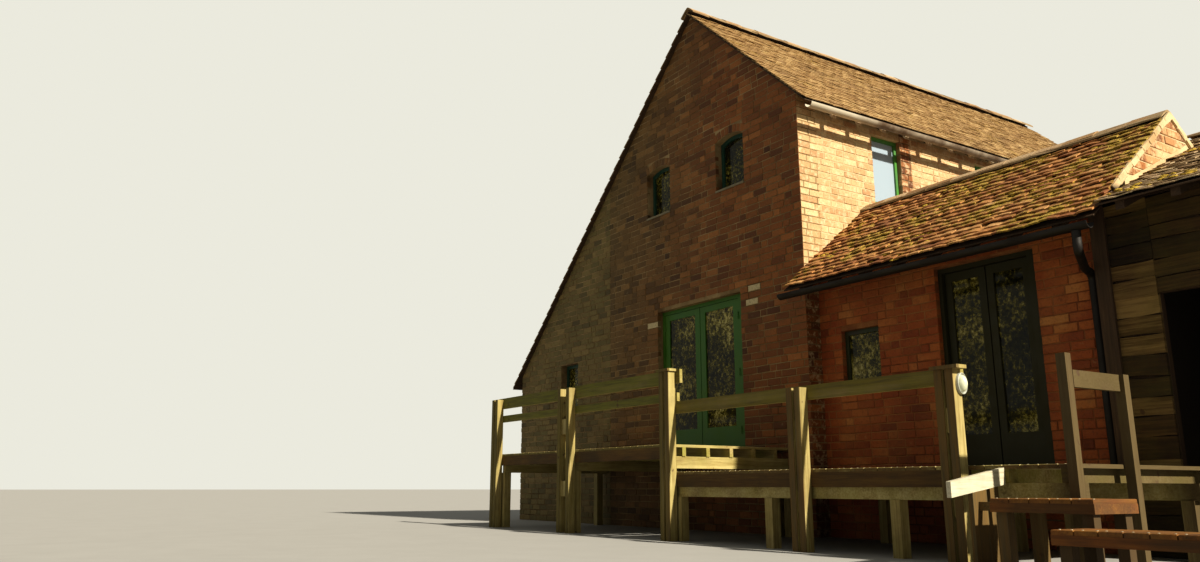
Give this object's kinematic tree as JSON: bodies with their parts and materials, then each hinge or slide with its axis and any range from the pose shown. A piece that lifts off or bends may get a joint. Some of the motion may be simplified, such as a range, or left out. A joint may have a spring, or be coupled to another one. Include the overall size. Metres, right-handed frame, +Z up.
{
  "type": "barn",
  "caption": "Brick barn with one long tiled slope, a lower tiled wing and outbuilding, glazed double doors, and a raised timber deck with rails, posts and low steps.",
  "frame": {"origin": "on the ground at the outer south-east corner of the barn gable", "axes": "+X east along the gable, +Y north along the barn, +Z up"},
  "size_m": [13.725, 11.094, 7.563],
  "materials": {
    "brick_gable": "matte",
    "brick_aisle": "matte",
    "brick_east": "matte",
    "brick_wing": "matte",
    "tile_barn": "matte",
    "tile_low": "matte",
    "tile_ridge": "matte",
    "timber_old": "matte",
    "timber_boards": "matte",
    "timber_deck": "matte",
    "painted_green": "satin",
    "glazing": "gloss",
    "floor_stone": "matte",
    "sill_stone": "matte",
    "gutter_pale": "satin",
    "gutter_dark": "satin",
    "lamp_white": "gloss"
  },
  "bodies": {
    "building": {"gable_wall_piers": "brick_gable", "gable_wall_upper": "brick_gable", "rear_gable_wall": "brick_gable", "west_wall": "brick_gable", "door_sill_walls": "brick_gable", "gable_wall_aisle": "brick_aisle", "east_wall": "brick_east", "wing_wall_left": "brick_wing", "wing_wall_over_door": "brick_wing", "wing_wall_right": "brick_wing", "wing_rear_wall": "brick_wing", "party_wall": "brick_wing", "outbuilding_rear_wall": "brick_wing", "outbuilding_end_wall": "brick_wing", "roof_east": "tile_barn", "roof_west": "tile_barn", "wing_roof_front": "tile_low", "wing_roof_rear": "tile_low", "outbuilding_roof_front": "tile_low", "outbuilding_roof_rear": "tile_low", "ridge_tiles": "tile_ridge", "rafters": "timber_old", "roof_timbers": "timber_old", "floor_joists": "timber_old", "floor_beam": "timber_old", "upper_floor": "timber_old", "low_rafters": "timber_old", "low_roof_timbers": "timber_old", "corner_post": "timber_old", "outbuilding_front_sides": "timber_boards", "outbuilding_front_over_door": "timber_boards", "upper_deck_boards": "timber_deck", "lower_deck_boards": "timber_deck", "deck_joists": "timber_deck", "deck_fascia": "timber_deck", "deck_bearers": "timber_deck", "deck_legs": "timber_deck", "deck_posts": "timber_deck", "deck_rails": "timber_deck", "step_treads": "timber_deck", "step_side_board": "timber_deck", "window_frames": "painted_green", "gable_door_frame": "painted_green", "wing_door_frame": "painted_green", "window_panes": "glazing", "ground_floors": "floor_stone", "window_sills": "sill_stone", "barn_gutter": "gutter_pale", "wing_gutter": "gutter_dark", "deck_lamp": "lamp_white"},
    "gable_leaf_left": {"gable_leaf_left": "painted_green", "gable_leaf_left_glass": "glazing"},
    "gable_leaf_right": {"gable_leaf_right": "painted_green", "gable_leaf_right_glass": "glazing"},
    "wing_leaf_left": {"wing_leaf_left": "painted_green", "wing_leaf_left_glass": "glazing"},
    "wing_leaf_right": {"wing_leaf_right": "painted_green", "wing_leaf_right_glass": "glazing"}
  },
  "joints": [
    {"name": "gable_left", "type": "hinge", "parent": "building", "child": "gable_leaf_left", "pos_m": [-2.957, 0.084, 1.051], "axis": [0, 0, -1], "range_deg": [0, 100]},
    {"name": "gable_right", "type": "hinge", "parent": "building", "child": "gable_leaf_right", "pos_m": [-1.333, 0.084, 1.051], "axis": [0, 0, 1], "range_deg": [0, 100]},
    {"name": "wing_left", "type": "hinge", "parent": "building", "child": "wing_leaf_left", "pos_m": [1.731, 0.384, 0.751], "axis": [0, 0, 1], "range_deg": [0, 90]},
    {"name": "wing_right", "type": "hinge", "parent": "building", "child": "wing_leaf_right", "pos_m": [2.717, 0.384, 0.751], "axis": [0, 0, -1], "range_deg": [0, 90]}
  ]
}
